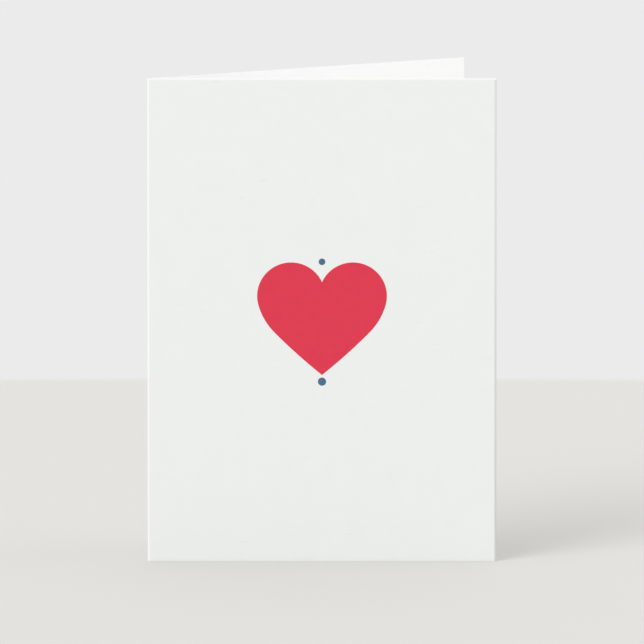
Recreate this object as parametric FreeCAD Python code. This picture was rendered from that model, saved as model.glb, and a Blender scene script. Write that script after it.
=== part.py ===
import FreeCAD
import Part
import math
import os

# A folded greeting card that stands open on its lower edges.
# One sheet of card stock is creased down the middle, with the fold on the left, and its
# front carries a printed heart with a round dot above it and another below it.
# The frame has +Z up and the front facing -Y. Its origin is the middle of the base of the
# sheet's bounding box. Lengths are in millimetres and angles in degrees.

# The folded sheet
CARD_WIDTH = 127.0  # from the outside of the fold to the front's free edge
CARD_HEIGHT = 177.8
SHEET_THICKNESS = 0.45
OPENING_ANGLE = 24.6  # between the front and the back
FOLD_INNER_RADIUS = 0.25
BEAD_NOSE = 0.15  # how far the bead inside the crease reaches past the fold's centre
CUT_EDGE_ROUND = 0.1  # the guillotine rolls the outer side of each cut edge a little

# The printed heart
HEART_RISE = 8.95  # from the middle of the card's height up to the centres of the lobes
LOBE_RADIUS = 12.35
LOBE_OVERLAP = 1.1  # how far each lobe's circle reaches past the heart's middle line
FLANK_START = 15.5  # where a lobe turns into a flank, in degrees below the lobe's centre
FLANK_RADIUS = 23.3
TAPER_RADIUS = 200.0  # of the long, nearly straight run from a flank to the tip
TIP_DROP = 29.1  # from the centres of the lobes down to the tip

# The printed dots
UPPER_DOT_RADIUS = 1.2
UPPER_DOT_RISE = 7.5  # from the notch between the lobes up to the dot's centre
LOWER_DOT_RADIUS = 1.5
LOWER_DOT_DROP = 2.45  # from the heart's tip down to the dot's centre

INK_THICKNESS = 0.04

# Sizes that follow from the ones above
OPENING = math.radians(OPENING_ANGLE)
FOLD_OUTER_RADIUS = FOLD_INNER_RADIUS + SHEET_THICKNESS
PANEL_RUN = CARD_WIDTH - FOLD_OUTER_RADIUS  # flat part of each panel, fold to free edge
CARD_DEPTH = FOLD_OUTER_RADIUS * (1 + math.cos(OPENING)) + PANEL_RUN * math.sin(OPENING)
FOLD_X = FOLD_OUTER_RADIUS - CARD_WIDTH / 2
FOLD_Y = FOLD_OUTER_RADIUS - CARD_DEPTH / 2
FRONT_Y = -CARD_DEPTH / 2  # the printed face
LOBE_X = LOBE_RADIUS - LOBE_OVERLAP
LOBE_Z = CARD_HEIGHT / 2 + HEART_RISE
TIP_Z = LOBE_Z - TIP_DROP
NOTCH_Z = LOBE_Z + math.sqrt(LOBE_RADIUS**2 - LOBE_X**2)

MIDDLE = FreeCAD.Vector(0, 0, 0)
SIDEWAYS = FreeCAD.Vector(1, 0, 0)
FORWARD = FreeCAD.Vector(0, -1, 0)
UP = FreeCAD.Vector(0, 0, 1)


def line(start, end):
    return Part.LineSegment(start, end).toShape()


def arc(start, middle, end):
    return Part.Arc(start, middle, end).toShape()


# The sheet, drawn from above and raised to the card's height


def fold_point(radius, heading):
    """A point around the fold's centre, with its heading in radians from +X."""
    x = FOLD_X + radius * math.cos(heading)
    y = FOLD_Y + radius * math.sin(heading)
    return FreeCAD.Vector(x, y, 0)


def front_point(run, radius):
    """A point of the front, run along it from the fold and radius out from the fold's centre."""
    return FreeCAD.Vector(FOLD_X + run, FOLD_Y - radius, 0)


def back_point(run, radius):
    """A point of the back, run along it from the fold and radius out from the fold's centre."""
    x = FOLD_X + run * math.cos(OPENING) - radius * math.sin(OPENING)
    y = FOLD_Y + run * math.sin(OPENING) + radius * math.cos(OPENING)
    return FreeCAD.Vector(x, y, 0)


def sheet_outline():
    """Both panels, the round outside of the fold and the bead inside the crease."""
    inner = FOLD_INNER_RADIUS
    outer = FOLD_OUTER_RADIUS
    bead_nose = fold_point(BEAD_NOSE, OPENING / 2)
    fold_back = fold_point(outer, OPENING / 2 + math.pi)
    edges = [
        line(front_point(0, outer), front_point(PANEL_RUN, outer)),
        line(front_point(PANEL_RUN, outer), front_point(PANEL_RUN, inner)),
        line(front_point(PANEL_RUN, inner), front_point(0, inner)),
        arc(front_point(0, inner), bead_nose, back_point(0, inner)),
        line(back_point(0, inner), back_point(PANEL_RUN, inner)),
        line(back_point(PANEL_RUN, inner), back_point(PANEL_RUN, outer)),
        line(back_point(PANEL_RUN, outer), back_point(0, outer)),
        arc(back_point(0, outer), fold_back, front_point(0, outer)),
    ]
    return Part.Face(Part.Wire(edges))


def on_outside(point):
    """True if the point lies on the outer face of the front, the back or the fold."""
    from_front = FOLD_Y - point.y
    from_back = (point.y - FOLD_Y) * math.cos(OPENING) - (point.x - FOLD_X) * math.sin(OPENING)
    return max(from_front, from_back) > FOLD_INNER_RADIUS + SHEET_THICKNESS / 2


def beside_fold(point):
    return math.hypot(point.x - FOLD_X, point.y - FOLD_Y) < PANEL_RUN / 2


def is_cut_edge(edge):
    """True for the outer rim of the sheet, and not for the upright seams where the fold begins."""
    points = [vertex.Point for vertex in edge.Vertexes]
    upright = edge.BoundBox.ZLength > CARD_HEIGHT / 2
    seam = upright and beside_fold(points[0])
    return all(on_outside(point) for point in points) and not seam


def folded_sheet():
    sheet = sheet_outline().extrude(UP * CARD_HEIGHT)
    return sheet.makeFillet(CUT_EDGE_ROUND, [edge for edge in sheet.Edges if is_cut_edge(edge)])


# The print, drawn on the front face


def on_front(x, z):
    return FreeCAD.Vector(x, FRONT_Y, z)


def around(centre, radius, heading):
    """A point around a centre on the front face, with its heading in radians above level."""
    return on_front(centre.x + radius * math.cos(heading), centre.z + radius * math.sin(heading))


def printed(edges):
    """The film of ink inside a closed outline on the front face."""
    return Part.Face(Part.Wire(edges)).extrude(FORWARD * INK_THICKNESS)


def heading_of(step):
    """The heading of a step on the front face, in radians above level."""
    return math.atan2(step.z, step.x)


def heading_to_taper(to_tip):
    """Where a flank meets its taper, seen from the flank's centre, given the way from there to the tip.

    The three centres make a triangle: the flank's, the taper's, and the tip on the taper's circle.
    """
    apart = TAPER_RADIUS - FLANK_RADIUS
    away = to_tip.Length
    cosine = (TAPER_RADIUS**2 - apart**2 - away**2) / (2 * apart * away)
    return heading_of(to_tip) + math.acos(cosine)


def heart():
    """Two round lobes, flanks of a wider arc, and tapers of a far wider one, each tangent to the next."""
    notch = on_front(0, NOTCH_Z)
    tip = on_front(0, TIP_Z)
    lobe = on_front(LOBE_X, LOBE_Z)
    lobe_start = math.pi - math.acos(LOBE_X / LOBE_RADIUS)
    lobe_end = -math.radians(FLANK_START)
    flank = around(lobe, LOBE_RADIUS - FLANK_RADIUS, lobe_end)
    flank_end = heading_to_taper(tip - flank)
    taper = around(flank, FLANK_RADIUS - TAPER_RADIUS, flank_end)
    taper_end = heading_of(tip - taper)
    lobe_top = around(lobe, LOBE_RADIUS, (lobe_start + lobe_end) / 2)
    lobe_to_flank = around(lobe, LOBE_RADIUS, lobe_end)
    flank_middle = around(flank, FLANK_RADIUS, (lobe_end + flank_end) / 2)
    flank_to_taper = around(flank, FLANK_RADIUS, flank_end)
    taper_middle = around(taper, TAPER_RADIUS, (flank_end + taper_end) / 2)
    right = [
        arc(notch, lobe_top, lobe_to_flank),
        arc(lobe_to_flank, flank_middle, flank_to_taper),
        arc(flank_to_taper, taper_middle, tip),
    ]
    left = [edge.mirror(MIDDLE, SIDEWAYS) for edge in reversed(right)]
    return printed(right + left)


def dot(radius, z):
    return printed([Part.Circle(on_front(0, z), FORWARD, radius).toShape()])


PIECES = {
    "folded_sheet": folded_sheet(),
    "heart_print": heart(),
    "upper_dot_print": dot(UPPER_DOT_RADIUS, NOTCH_Z + UPPER_DOT_RISE),
    "lower_dot_print": dot(LOWER_DOT_RADIUS, TIP_Z - LOWER_DOT_DROP),
}

os.makedirs("parts", exist_ok=True)
for name, piece in PIECES.items():
    piece.exportStep(os.path.join("parts", name + ".step"))
    print(name, "valid" if piece.isValid() else "NOT VALID", len(piece.Solids), round(piece.Volume, 4))
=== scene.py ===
import math
from typing import NamedTuple

import bmesh
import bpy
from bpy.props import FloatProperty, FloatVectorProperty, IntProperty, PointerProperty
from mathutils import Matrix, Vector


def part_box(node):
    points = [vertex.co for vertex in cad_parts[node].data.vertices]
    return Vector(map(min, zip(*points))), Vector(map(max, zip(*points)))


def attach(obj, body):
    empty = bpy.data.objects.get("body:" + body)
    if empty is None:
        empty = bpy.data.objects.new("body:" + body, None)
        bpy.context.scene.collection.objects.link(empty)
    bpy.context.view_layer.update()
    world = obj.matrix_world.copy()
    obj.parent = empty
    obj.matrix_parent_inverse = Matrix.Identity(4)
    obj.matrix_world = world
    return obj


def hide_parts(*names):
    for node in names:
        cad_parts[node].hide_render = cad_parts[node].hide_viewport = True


# A folded greeting card that stands open, built around the measured frame.
# Lengths are in metres and colours are linear, as Blender holds them.

bl_info = {
    "name": "Greeting Card",
    "version": (1, 0, 0),
    "blender": (4, 5, 0),
    "location": "3D View > Sidebar > Greeting Card",
    "description": "Models and finishes a folded card that stands open, with a printed heart",
    "category": "Add Mesh",
}

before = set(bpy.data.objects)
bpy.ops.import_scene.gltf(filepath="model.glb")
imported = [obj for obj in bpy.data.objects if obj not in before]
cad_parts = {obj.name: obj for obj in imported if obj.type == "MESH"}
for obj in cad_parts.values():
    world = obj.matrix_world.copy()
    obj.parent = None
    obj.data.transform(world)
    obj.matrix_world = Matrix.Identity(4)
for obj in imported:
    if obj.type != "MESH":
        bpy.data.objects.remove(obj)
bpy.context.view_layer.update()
SHEET_LOW, SHEET_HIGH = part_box("folded_sheet")
CARD_WIDTH = SHEET_HIGH.x - SHEET_LOW.x
CARD_HEIGHT = SHEET_HIGH.z - SHEET_LOW.z
MM = 0.001


class Spots(NamedTuple):
    """Soft noise: the size of its spots, its detail, and the turn and stretch of its grain."""

    size: float
    detail: float = 2.0
    turn: float = 0.0
    grain: tuple = (1, 1, 1)


class Marks(NamedTuple):
    """Marks that begin and are full at two levels of soft noise, and how strongly they show."""

    spots: Spots
    begin: float
    full: float
    share: float


# Paper and ink alike: the layers of the relief, each with its share, and the matte gloss
TOOTH = (
    (0.3, Spots(5 * MM)),
    (0.5, Spots(0.55 * MM, 4.0)),
    (0.3, Spots(0.3 * MM, 3.0, 0.3, (0.35, 1, 1))),
    (0.3, Spots(0.28 * MM, 3.0, -0.9, (1, 1, 0.3))),
)
TOOTH_ROUGHNESS = 0.15  # how much rougher the relief's high spots are
SPECULAR = 0.15

# The stock: tones are factors of its colour, and a drift is the darkest and the lightest tone
STOCK_ROUGHNESS = 0.8
STOCK_RELIEF = 0.02 * MM
STOCK_CLOUDS = Spots(9 * MM, 3.0)
STOCK_DRIFT = (0.985, 1.01)
GROUND_DRIFT = (0.985, 1.012)
# Painted shade: darker tones of the stock at the fold, the front's top margin and the cut edges, which hold
# down the light they catch
FOLD_SHADE = 0.96
TOP_MARGIN_SHADE = 0.93
CUT_EDGE_SHADE = 0.86
CUT_SKIN = 0.01 * MM  # how far the painted shade of a cut edge reaches into the faces

# The edges of the printed ground
SOFT_EDGE = 0.06 * MM
RAGGED = Spots(0.5 * MM, 3.0)
RAGGED_WIDTH = 0.25 * MM
TOP_RAGGED = 0.3  # how ragged the ground's top edge is, compared with its edge by the fold
EDGE_SHADE_RAGGED = 0.5  # the same for the edge of the band of painted shade along the free edge
RIM_SHADE_FADE = 0.8  # how much less painted shade the rim has at the top than at the foot
RUBBED = Marks(Spots(0.35 * MM), 0.66, 0.7, 0.7)
RUBBED_REACH = 0.5 * MM

# Marks all over the stock
SPECKLE = Marks(Spots(0.8 * MM, 4.0), 0.35, 0.75, 0.02)
SPECKLE_COLOUR = (0.45, 0.46, 0.44)
FLECKS = ((3.2 * MM, 0.5), (4.1 * MM, -1.0))  # the size of a cell and the turn of its fibre
FLECK_GRAIN = (0.16, 1, 1)
FLECK_RIM = (0.03, 0.1)  # where a fleck ends, from the middle of its cell
FLECK_CHANCE = (0.7, 0.72)  # a cell whose random number is past these has a fleck
FLECK_SHARE = 0.07
FLECK_COLOUR = (0.42, 0.40, 0.36)

# The ink
INK_ROUGHNESS = 0.62
INK_RELIEF = 0.015 * MM
INK_CLOUDS = Spots(4 * MM, 3.0)
INK_DRIFT = (0.96, 1.04)
THIN_INK = Marks(Spots(0.3 * MM, 3.0), 0.62, 0.75, 0.06)
THIN_COLOUR = (0.85, 0.82, 0.8)

# The sheet's mesh
RIM_LOOPS = (0.22, 0.36, 0.52, 0.72, 1.0)  # where the pressed band has loops, as shares of its width
ROLL_CURVE = 2.5  # how fast the pressed band levels out
ROUND_STEPS = 3  # faces across the round of a cut edge
BOW_SWAY = 0.25  # how much the back's bow lessens from its foot to half its height, and again to its top
SMOOTH_ANGLE = math.radians(40)
INNER_SKIN = 0.99  # past this share of the thickness a point is on the inner face
SNAP = 1e-8  # a point as close as this to a cut counts as on it
TINY = 1e-6  # a distance below this counts as none

# The lamps: the way towards each from the card, and how many degrees wide it looks
LAMPS = {
    "key": ((-0.7, -0.7, 0.8), 35),
    "fill": ((1, 0.1, 0.15), 40),
    "back": ((0.2, 0.5, 0.9), 90),
}


def srgb(red, green, blue):
    """A linear colour from the three numbers, 0 to 255, that a paint program gives."""
    offset, power = 0.055, 2.4
    return tuple(((part / 255 + offset) / (1 + offset)) ** power for part in (red, green, blue))


def length(name, description, default):
    """A property for a length in metres."""
    return FloatProperty(
        name=name, description=description, default=default, min=0, precision=6, unit="LENGTH"
    )


def strength(name, description, default):
    """A property for the brightness of a light."""
    return FloatProperty(name=name, description=description, default=default, min=0)


def colour(name, description, default):
    """A property for a linear colour."""
    return FloatVectorProperty(
        name=name, description=description, default=default, min=0, max=1, subtype="COLOR", precision=4
    )


# Sizes and colours that a user would change


class CardSheetSettings(bpy.types.PropertyGroup):
    """The folded sheet of card stock"""

    thickness: length("Thickness", "Thickness of the card stock", 0.45 * MM)
    opening: FloatProperty(
        name="Opening",
        description="Angle between the front and the back",
        default=math.radians(24.6),
        min=math.radians(1),
        max=math.radians(90),
        subtype="ANGLE",
    )
    fold_radius: length("Fold radius", "Radius of the inner face round the fold", 0.25 * MM)
    bead_nose: length("Bead nose", "How far the crease's bead reaches past the fold's centre", 0.15 * MM)
    edge_round: length("Edge round", "Radius that the knife leaves on each cut edge's outer side", 0.1 * MM)
    roll_width: length(
        "Roll width", "Width of the band pressed down along the upright and upper edges", 0.85 * MM
    )
    roll_depth: length("Roll depth", "How deep that band is pressed at the cut edge itself", 0.14 * MM)
    bow: length("Bow", "How far the middle of the back panel bows outwards", 0.35 * MM)
    cell: length("Cell", "Size of the mesh's cells on the flat panels", 4 * MM)
    fold_steps: IntProperty(
        name="Fold steps", description="Steps of the mesh round the fold", default=16, min=4
    )
    stock: colour("Stock", "Colour of the bare card stock", srgb(252, 252, 252))
    ground: colour("Ground", "Colour of the pale ground printed on the front", srgb(240, 242, 241))
    # The bare strips by the fold and the top edge are partly unprinted paper and partly a painted highlight
    fold_margin_highlight: length("Fold margin", "Bare strip beside the fold, seen from the front", 0.6 * MM)
    top_margin_highlight: length("Top margin", "Bare strip along the front's top edge", 0.45 * MM)
    # The greyed band along the free edge is painted shade, darkest at its rim and low down
    edge_shade_margin: length("Grey margin", "Band that is greyed along the front's free edge", 0.8 * MM)
    edge_shade: colour("Grey", "Colour of the greyed band", srgb(225, 227, 224))
    edge_shade_rim: colour("Grey rim", "Colour of that band at its rim, low down", srgb(203, 203, 201))


class CardPrintSettings(bpy.types.PropertyGroup):
    """The printed heart and dots"""

    heart: colour("Heart", "Colour of the heart's ink", srgb(224, 60, 82))
    dots: colour("Dots", "Colour of the dots' ink", srgb(77, 112, 142))


class CardStageSettings(bpy.types.PropertyGroup):
    """The floor, the light and the camera"""

    floor: colour("Floor", "Colour of the floor", srgb(213, 212, 209))
    background: colour("Background", "Colour behind the floor", srgb(235, 235, 235))
    floor_reach: length("Floor reach", "How far the floor reaches from the card to each side", 397 * MM)
    floor_fade: length("Floor fade", "Width of the band in which the floor fades out", 14 * MM)
    ambient: strength("Ambient", "Brightness of the light from all round", 0.81)
    key: strength("Key", "Brightness of the light from high up at the front left", 1.01)
    fill: strength("Fill", "Brightness of the low soft light from the right", 0.88)
    back: strength("Back", "Brightness of the soft light from above the back", 0.4)
    camera_distance: length("Camera distance", "From the camera to the point that it looks at", 9.0)
    camera_height: length("Camera aim", "Height of the point that the camera looks at", 84 * MM)
    camera_tilt: FloatProperty(
        name="Camera tilt",
        description="How far the camera looks down",
        default=math.radians(9.0),
        subtype="ANGLE",
    )
    lens: FloatProperty(name="Lens", description="Focal length in millimetres", default=1378.4, min=1)


# Shader nodes


class Value:
    """A number or a colour that a node gives, with the maths nodes behind the signs."""

    def __init__(self, graph, socket):
        self.graph = graph
        self.socket = socket

    def maths(self, operation, first, second):
        node = self.graph.add("ShaderNodeMath", {"operation": operation}, {0: first, 1: second})
        return Value(self.graph, node.outputs[0])

    def __add__(self, other):
        return self.maths("ADD", self, other)

    def __sub__(self, other):
        return self.maths("SUBTRACT", self, other)

    def __rsub__(self, other):
        return self.maths("SUBTRACT", other, self)

    def __mul__(self, other):
        return self.maths("MULTIPLY", self, other)

    __radd__ = __add__
    __rmul__ = __mul__

    def at_least(self, other):
        return self.maths("MAXIMUM", self, other)

    def at_most(self, other):
        return self.maths("MINIMUM", self, other)


class Graph:
    """The nodes of one material or world."""

    def __init__(self, owner):
        owner.use_nodes = True
        self.tree = owner.node_tree
        self.tree.nodes.clear()

    def add(self, kind, settings=None, inputs=None):
        """Makes a node, with its settings first and then the values or links of its sockets."""
        node = self.tree.nodes.new(kind)
        for name, setting in (settings or {}).items():
            setattr(node, name, setting)
        for name, value in (inputs or {}).items():
            socket = node.inputs[name]
            if isinstance(value, Value):
                self.tree.links.new(value.socket, socket)
            else:
                socket.default_value = value
        return node

    def read(self, kind, output, settings=None, inputs=None):
        """The named output of a new node."""
        return Value(self, self.add(kind, settings, inputs).outputs[output])

    def place(self):
        """Where a point of the piece is, in metres, as a vector and as its three numbers."""
        where = self.read("ShaderNodeTexCoord", "Object")
        split = self.add("ShaderNodeSeparateXYZ", None, {"Vector": where})
        return where, *(Value(self, split.outputs[axis]) for axis in "XYZ")

    def stretched(self, where, turn, grain):
        """The place turned about Y and then scaled, so that a pattern on it runs along one direction."""
        inputs = {"Vector": where, "Rotation": (0, turn, 0), "Scale": grain}
        return self.read("ShaderNodeMapping", "Vector", None, inputs)

    def noise(self, where, spots):
        """Soft noise from 0 to 1."""
        if spots.turn:
            where = self.stretched(where, spots.turn, spots.grain)
        inputs = {"Vector": where, "Scale": 1 / spots.size, "Detail": spots.detail}
        return self.read("ShaderNodeTexNoise", "Fac", None, inputs)

    def step(self, value, start, end):
        """0 below start and 1 above end, with a smooth rise between them."""
        settings = {"interpolation_type": "SMOOTHSTEP"}
        inputs = {"Value": value, "From Min": start, "From Max": end}
        return self.read("ShaderNodeMapRange", "Result", settings, inputs)

    def past(self, value, line):
        """0 before a line and 1 past it, with a soft edge."""
        return self.step(value, line - SOFT_EDGE, line + SOFT_EDGE)

    def marks(self, where, kind):
        """Marks where soft noise is strong, from 0 up to their share."""
        return kind.share * self.step(self.noise(where, kind.spots), kind.begin, kind.full)

    def blend(self, share, first, second):
        """A colour between two, as far along as share says."""
        first_in, second_in, blended = 6, 7, 2  # the numbers of the node's colour sockets
        inputs = {0: share, first_in: first, second_in: second}
        node = self.add("ShaderNodeMix", {"data_type": "RGBA"}, inputs)
        return Value(self, node.outputs[blended])

    def drifting(self, clouds, rgb, drift):
        """A colour that drifts with the clouds between two tones of itself."""
        darkest, lightest = drift
        return self.blend(clouds, shaded(rgb, darkest), shaded(rgb, lightest))

    def bump(self, height, distance):
        """A normal for a surface whose relief is height times distance metres."""
        return self.read("ShaderNodeBump", "Normal", None, {"Height": height, "Distance": distance})


def opaque(rgb):
    return (*rgb, 1.0)


def shaded(rgb, factor):
    """A colour made lighter or darker by a factor."""
    return opaque(min(1.0, part * factor) for part in rgb)


def paper_tooth(graph, where):
    """The felted relief of uncoated card stock, from its clouds down to single fibres."""
    clouds, felt, along, across = (share * graph.noise(where, spots) for share, spots in TOOTH)
    return clouds + felt + along + across


def fibre_flecks(graph, where, size, turn):
    """Single fibres that lie in the surface: thin short marks, one in a few cells."""
    inputs = {"Vector": graph.stretched(where, turn, FLECK_GRAIN), "Scale": 1 / size}
    cells = graph.add("ShaderNodeTexVoronoi", None, inputs)
    near = 1 - graph.step(Value(graph, cells.outputs["Distance"]), *FLECK_RIM)
    split = graph.add("ShaderNodeSeparateColor", None, {0: Value(graph, cells.outputs["Color"])})
    chosen = graph.step(Value(graph, split.outputs[0]), *FLECK_CHANCE)
    return near * chosen


def finish(graph, rgb, tooth, roughness, relief):
    """Ends a material in one matte shader that has the tooth's relief."""
    inputs = {
        "Base Color": rgb,
        "Roughness": roughness + TOOTH_ROUGHNESS * tooth,
        "Specular IOR Level": SPECULAR,
        "Normal": graph.bump(tooth, relief),
    }
    shader = graph.read("ShaderNodeBsdfPrincipled", "BSDF", None, inputs)
    graph.add("ShaderNodeOutputMaterial", None, {"Surface": shader})


def card_stock_material(sheet, plan):
    """White uncoated stock, with a pale printed ground on the front that stops short of two edges, and with
    painted highlight and shade along the front's edges.
    """
    material = bpy.data.materials.new("card_stock")
    graph = Graph(material)
    where, x, y, z = graph.place()
    tooth = paper_tooth(graph, where)
    clouds = graph.noise(where, STOCK_CLOUDS)

    # The ground ends in a slightly uneven line short of the fold and the top edge, and is rubbed off in
    # specks along the fold. The lighter bare strips left there are partly unprinted paper and partly a
    # painted highlight along those edges.
    ragged = (graph.noise(where, RAGGED) - 0.5) * RAGGED_WIDTH
    fold_side = SHEET_LOW.x + sheet.fold_margin_highlight
    past_fold = graph.past(x + ragged, fold_side)
    under_top = 1 - graph.past(z + TOP_RAGGED * ragged, SHEET_HIGH.z - sheet.top_margin_highlight)
    on_front = 1 - graph.past(y, SHEET_LOW.y + sheet.thickness / 2)
    near_fold = 1 - graph.step(x, fold_side, fold_side + RUBBED_REACH)
    printed = past_fold * under_top * on_front * (1 - graph.marks(where, RUBBED) * near_fold)

    # Painted shade: the ground is greyed along the free edge, most at its rim and low down, as if that edge
    # were in shade.
    free_side = SHEET_HIGH.x - sheet.edge_shade_margin
    greyed = graph.past(x + EDGE_SHADE_RAGGED * ragged, free_side)
    rim_shade = graph.step(x, free_side, SHEET_HIGH.x) * (1 - RIM_SHADE_FADE * graph.step(z, 0, CARD_HEIGHT))
    edge_shade = graph.blend(rim_shade, opaque(sheet.edge_shade), opaque(sheet.edge_shade_rim))

    # Painted shade: the bare cut edges are darker than the faces, which holds down the light that the
    # upward ones catch.
    from_fold = (x - plan.centre.x) * math.cos(plan.opening) + (y - plan.centre.y) * math.sin(plan.opening)
    to_cut = z.at_most(CARD_HEIGHT - z).at_most(SHEET_HIGH.x - x).at_most(plan.panel - from_fold)
    cut = 1 - graph.step(to_cut, CUT_SKIN, 2 * CUT_SKIN)

    # Painted shade: the stock is darker at the fold and the front's bare top margin, and darker still where
    # it is cut, to hold down the light that these rounded and upturned places catch.
    stock = graph.drifting(clouds, sheet.stock, STOCK_DRIFT)
    stock = graph.blend(1 - past_fold, stock, shaded(sheet.stock, FOLD_SHADE))
    stock = graph.blend(on_front * (1 - under_top), stock, shaded(sheet.stock, TOP_MARGIN_SHADE))
    stock = graph.blend(cut, stock, shaded(sheet.stock, CUT_EDGE_SHADE))
    ground = graph.drifting(clouds, sheet.ground, GROUND_DRIFT)
    ground = graph.blend(greyed, ground, edge_shade)
    rgb = graph.blend(printed, stock, ground)
    rgb = graph.blend(graph.marks(where, SPECKLE), rgb, opaque(SPECKLE_COLOUR))
    shorter, longer = (fibre_flecks(graph, where, size, turn) for size, turn in FLECKS)
    rgb = graph.blend(FLECK_SHARE * shorter.at_least(longer), rgb, opaque(FLECK_COLOUR))

    finish(graph, rgb, tooth, STOCK_ROUGHNESS, STOCK_RELIEF)
    return material


def ink_material(name, rgb):
    """Matte ink that lies on the paper's tooth, thinner in small spots."""
    material = bpy.data.materials.new(name)
    graph = Graph(material)
    where = graph.place()[0]
    tooth = paper_tooth(graph, where)
    ink = graph.drifting(graph.noise(where, INK_CLOUDS), rgb, INK_DRIFT)
    ink = graph.blend(graph.marks(where, THIN_INK), ink, opaque(THIN_COLOUR))
    finish(graph, ink, tooth, INK_ROUGHNESS, INK_RELIEF)
    return material


# The sheet, first flat and then folded
# Flat, x runs across the sheet from the middle of the fold, with the front on the + side,
# y goes in from its outer face, and z is up.


def heading(angle):
    """The level direction at an angle from +X."""
    return Vector((math.cos(angle), math.sin(angle), 0))


class FoldPlan:
    """How a point of the flat sheet goes to its place on the folded card."""

    def __init__(self, sheet):
        self.thickness = sheet.thickness
        self.inner = sheet.fold_radius
        self.outer = sheet.fold_radius + sheet.thickness
        self.opening = sheet.opening
        self.turn = math.pi - sheet.opening
        self.half_fold = self.outer * self.turn / 2
        self.panel = CARD_WIDTH - self.outer
        self.half_width = self.panel + self.half_fold
        self.centre = Vector((SHEET_LOW.x + self.outer, SHEET_LOW.y + self.outer, 0))
        self.bead_nose = sheet.bead_nose
        self.bow = sheet.bow

    def on_bead(self, share):
        """A point of the bead in the crease, from the front at -1 to the back at 1."""
        half = self.opening / 2
        foot = Vector((-self.inner * math.sin(half), self.inner * math.cos(half)))
        rise = self.bead_nose - foot.x
        radius = (foot.y**2 + rise**2) / (2 * rise)
        middle = self.bead_nose - radius
        angle = share * math.atan2(foot.y, foot.x - middle)
        along = heading(half) * (middle + radius * math.cos(angle))
        across = heading(half + math.pi / 2) * (radius * math.sin(angle))
        return self.centre + along + across

    def on_back(self, run, depth, up):
        """A point of the back panel, which bows outwards a little, most at its foot."""
        sway = 1 - BOW_SWAY + BOW_SWAY * math.cos(math.pi * up / CARD_HEIGHT)
        bow = self.bow * math.sin(math.pi * run / self.panel) * sway
        outwards = heading(self.opening + math.pi / 2) * (self.outer - depth + bow)
        return self.centre + heading(self.opening) * run + outwards

    def folded(self, point):
        run, depth, up = point
        share = -run / self.half_fold
        if share > 1:
            place = self.on_back(-run - self.half_fold, depth, up)
        elif share < -1:
            place = self.centre + Vector((run - self.half_fold, depth - self.outer, 0))
        elif depth > self.thickness * INNER_SKIN:
            place = self.on_bead(share)
        else:
            angle = self.opening / 2 + math.pi - share * self.turn / 2
            place = self.centre + heading(angle) * (self.outer - depth)
        return place + Vector((0, 0, up))


def cut_loop(bm, place, normal):
    """Cuts a loop of edges right through the mesh."""
    everything = bm.verts[:] + bm.edges[:] + bm.faces[:]
    bmesh.ops.bisect_plane(bm, geom=everything, dist=SNAP, plane_co=place, plane_no=normal)


def flat_sheet(sheet, plan):
    """The cut sheet as a closed slab, with loops close together at its rim and at the fold."""
    bm = bmesh.new()
    across = round(2 * plan.half_width / sheet.cell)
    upright = round(CARD_HEIGHT / sheet.cell)
    size = Matrix.Diagonal((plan.half_width, CARD_HEIGHT / 2, 1, 1))
    stand = Matrix.Translation((0, 0, CARD_HEIGHT / 2)) @ Matrix.Rotation(math.pi / 2, 4, "X")
    bmesh.ops.create_grid(bm, x_segments=across, y_segments=upright, size=1, matrix=stand @ size)
    for share in RIM_LOOPS:
        inset = share * sheet.roll_width
        for side in (-1, 1):
            cut_loop(bm, (side * (plan.half_width - inset), 0, 0), (1, 0, 0))
        for height in (inset, CARD_HEIGHT - inset):
            cut_loop(bm, (0, 0, height), (0, 0, 1))
    for step in range(sheet.fold_steps + 1):
        run = plan.half_fold * (2 * step / sheet.fold_steps - 1)
        cut_loop(bm, (run, 0, 0), (1, 0, 0))
    made = bmesh.ops.extrude_face_region(bm, geom=bm.faces[:], use_keep_orig=True)
    inner = [item for item in made["geom"] if isinstance(item, bmesh.types.BMVert)]
    bmesh.ops.translate(bm, verts=inner, vec=(0, sheet.thickness, 0))
    bmesh.ops.recalc_face_normals(bm, faces=bm.faces[:])
    return bm


def pressed_distance(point, plan):
    """How far a point of the flat sheet is from its nearest upright or upper cut edge."""
    return min(plan.half_width - abs(point.x), CARD_HEIGHT - point.z)


def round_cut_edges(bm, sheet, plan):
    """Rounds the outer side of the rim, and presses the band beside it down, save along the foot."""

    def on_rim(vert):
        return vert.co.y < TINY and min(pressed_distance(vert.co, plan), vert.co.z) < TINY

    rim = [edge for edge in bm.edges if all(on_rim(vert) for vert in edge.verts)]
    bmesh.ops.bevel(
        bm,
        geom=rim,
        offset=sheet.edge_round,
        offset_type="OFFSET",
        affect="EDGES",
        segments=ROUND_STEPS,
        profile=0.5,
        material=-1,
        clamp_overlap=True,
    )
    for vert in bm.verts:
        inset = min(1.0, max(0.0, pressed_distance(vert.co, plan) / sheet.roll_width))
        skin = 1 - vert.co.y / sheet.thickness
        vert.co.y += sheet.roll_depth * (1 - inset) ** ROLL_CURVE * skin


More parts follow.
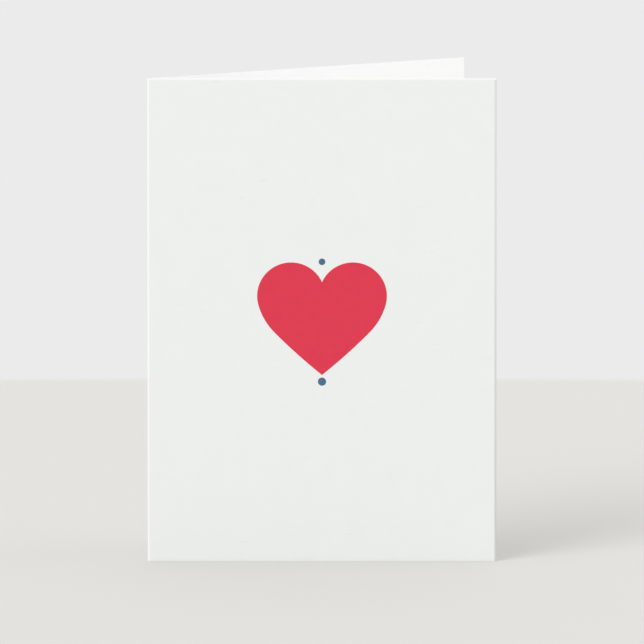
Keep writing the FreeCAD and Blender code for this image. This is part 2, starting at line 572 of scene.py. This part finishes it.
class GREETING_CARD_OT_folded_sheet(bpy.types.Operator):
    """Models the folded sheet of card stock"""

    bl_idname = "greeting_card.folded_sheet"
    bl_label = "Folded Sheet"

    def execute(self, context):
        sheet = context.scene.greeting_card_sheet
        plan = FoldPlan(sheet)
        bm = flat_sheet(sheet, plan)
        round_cut_edges(bm, sheet, plan)
        for vert in bm.verts:
            vert.co = plan.folded(vert.co)
        for edge in bm.edges:
            edge.smooth = edge.calc_face_angle(0) < SMOOTH_ANGLE
        mesh = bpy.data.meshes.new("folded_card")
        bm.to_mesh(mesh)
        bm.free()
        mesh.polygons.foreach_set("use_smooth", [True] * len(mesh.polygons))
        card = bpy.data.objects.new("folded_card", mesh)
        context.scene.collection.objects.link(card)
        mesh.materials.append(card_stock_material(sheet, plan))
        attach(card, "root")
        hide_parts("folded_sheet")
        return {"FINISHED"}


class GREETING_CARD_OT_front_print(bpy.types.Operator):
    """Inks the printed heart and the dots on the front"""

    bl_idname = "greeting_card.front_print"
    bl_label = "Front Print"

    def execute(self, context):
        inks = context.scene.greeting_card_print
        red = ink_material("red_ink", inks.heart)
        blue = ink_material("blue_ink", inks.dots)
        for node, ink in (("heart_print", red), ("upper_dot_print", blue), ("lower_dot_print", blue)):
            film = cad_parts[node]
            film.data.materials.clear()
            film.data.materials.append(ink)
        return {"FINISHED"}


# The stage


def floor_material(stage):
    """A pale matte floor whose rim fades, so that the background shows past it.

    The fourth powers of x and y make the rim a square with round corners.
    """
    material = bpy.data.materials.new("pale_floor")
    graph = Graph(material)
    _, x, y, _ = graph.place()
    squares = graph.read("ShaderNodeCombineXYZ", "Vector", None, {"X": x * x, "Y": y * y})
    spread = graph.read("ShaderNodeVectorMath", "Value", {"operation": "LENGTH"}, {0: squares})
    gone = graph.step(spread, (stage.floor_reach - stage.floor_fade) ** 2, stage.floor_reach**2)
    matte = graph.read("ShaderNodeBsdfDiffuse", "BSDF", None, {"Color": opaque(stage.floor)})
    clear = graph.read("ShaderNodeBsdfTransparent", "BSDF")
    shader = graph.read("ShaderNodeMixShader", "Shader", None, {0: gone, 1: matte, 2: clear})
    graph.add("ShaderNodeOutputMaterial", None, {"Surface": shader})
    return material


def light_world(stage):
    """Even light from all round, and a plain background where the camera looks past the floor."""
    world = bpy.data.worlds.new("studio")
    graph = Graph(world)
    rays = graph.add("ShaderNodeLightPath")
    kinds = ("Is Camera Ray", "Is Glossy Ray", "Is Transmission Ray")
    camera, glossy, through = (Value(graph, rays.outputs[kind]) for kind in kinds)
    seen = camera.at_least(glossy).at_least(through)
    light = opaque([stage.ambient] * 3)
    rgb = graph.blend(seen, light, opaque(stage.background))
    shader = graph.read("ShaderNodeBackground", "Background", None, {"Color": rgb, "Strength": 1.0})
    graph.add("ShaderNodeOutputWorld", None, {"Surface": shader})
    return world


def add_floor(context, stage):
    bm = bmesh.new()
    bmesh.ops.create_grid(bm, x_segments=1, y_segments=1, size=stage.floor_reach)
    mesh = bpy.data.meshes.new("floor")
    bm.to_mesh(mesh)
    bm.free()
    floor = bpy.data.objects.new("floor", mesh)
    mesh.materials.append(floor_material(stage))
    context.scene.collection.objects.link(floor)


def add_light(context, name, brightness, towards, width):
    """A soft far light that stands towards a direction and looks width degrees wide."""
    lamp = bpy.data.lights.new(name, "SUN")
    lamp.energy = brightness
    lamp.angle = math.radians(width)
    light = bpy.data.objects.new(name, lamp)
    light.rotation_euler = Vector(towards).to_track_quat("Z", "Y").to_euler()
    context.scene.collection.objects.link(light)


def add_camera(context, stage):
    """Looks straight at the front from a little above, from far away."""
    lens = bpy.data.cameras.new("camera")
    lens.lens = stage.lens
    camera = bpy.data.objects.new("camera", lens)
    tilt = stage.camera_tilt
    back = Vector((0, -math.cos(tilt), math.sin(tilt)))
    camera.location = Vector((0, 0, stage.camera_height)) + back * stage.camera_distance
    camera.rotation_euler = (math.pi / 2 - tilt, 0, 0)
    context.scene.collection.objects.link(camera)
    context.scene.camera = camera


class GREETING_CARD_OT_stage(bpy.types.Operator):
    """Sets up the floor, the light and the camera"""

    bl_idname = "greeting_card.stage"
    bl_label = "Stage"

    def execute(self, context):
        stage = context.scene.greeting_card_stage
        add_floor(context, stage)
        for name, (towards, width) in LAMPS.items():
            add_light(context, name, getattr(stage, name), towards, width)
        add_camera(context, stage)
        context.scene.world = light_world(stage)
        context.scene.view_settings.view_transform = "Standard"
        return {"FINISHED"}


class GREETING_CARD_PT_panel(bpy.types.Panel):
    """Lists the steps that build the card"""

    bl_idname = "GREETING_CARD_PT_panel"
    bl_label = "Greeting Card"
    bl_space_type = "VIEW_3D"
    bl_region_type = "UI"
    bl_category = "Greeting Card"

    def draw(self, context):
        for operator, settings in STEPS:
            column = self.layout.column()
            column.operator(operator.bl_idname)
            group = getattr(context.scene, settings)
            for name in group.__annotations__:
                column.prop(group, name)


SETTINGS = {
    "greeting_card_sheet": CardSheetSettings,
    "greeting_card_print": CardPrintSettings,
    "greeting_card_stage": CardStageSettings,
}
STEPS = (
    (GREETING_CARD_OT_folded_sheet, "greeting_card_sheet"),
    (GREETING_CARD_OT_front_print, "greeting_card_print"),
    (GREETING_CARD_OT_stage, "greeting_card_stage"),
)


def register():
    for name, group in SETTINGS.items():
        bpy.utils.register_class(group)
        setattr(bpy.types.Scene, name, PointerProperty(type=group))
    for operator, _ in STEPS:
        bpy.utils.register_class(operator)
    bpy.utils.register_class(GREETING_CARD_PT_panel)


def unregister():
    bpy.utils.unregister_class(GREETING_CARD_PT_panel)
    for operator, _ in STEPS:
        bpy.utils.unregister_class(operator)
    for name, group in SETTINGS.items():
        delattr(bpy.types.Scene, name)
        bpy.utils.unregister_class(group)


def main():
    register()
    bpy.ops.greeting_card.folded_sheet()
    bpy.ops.greeting_card.front_print()
    bpy.ops.greeting_card.stage()


if __name__ == "__main__":
    main()
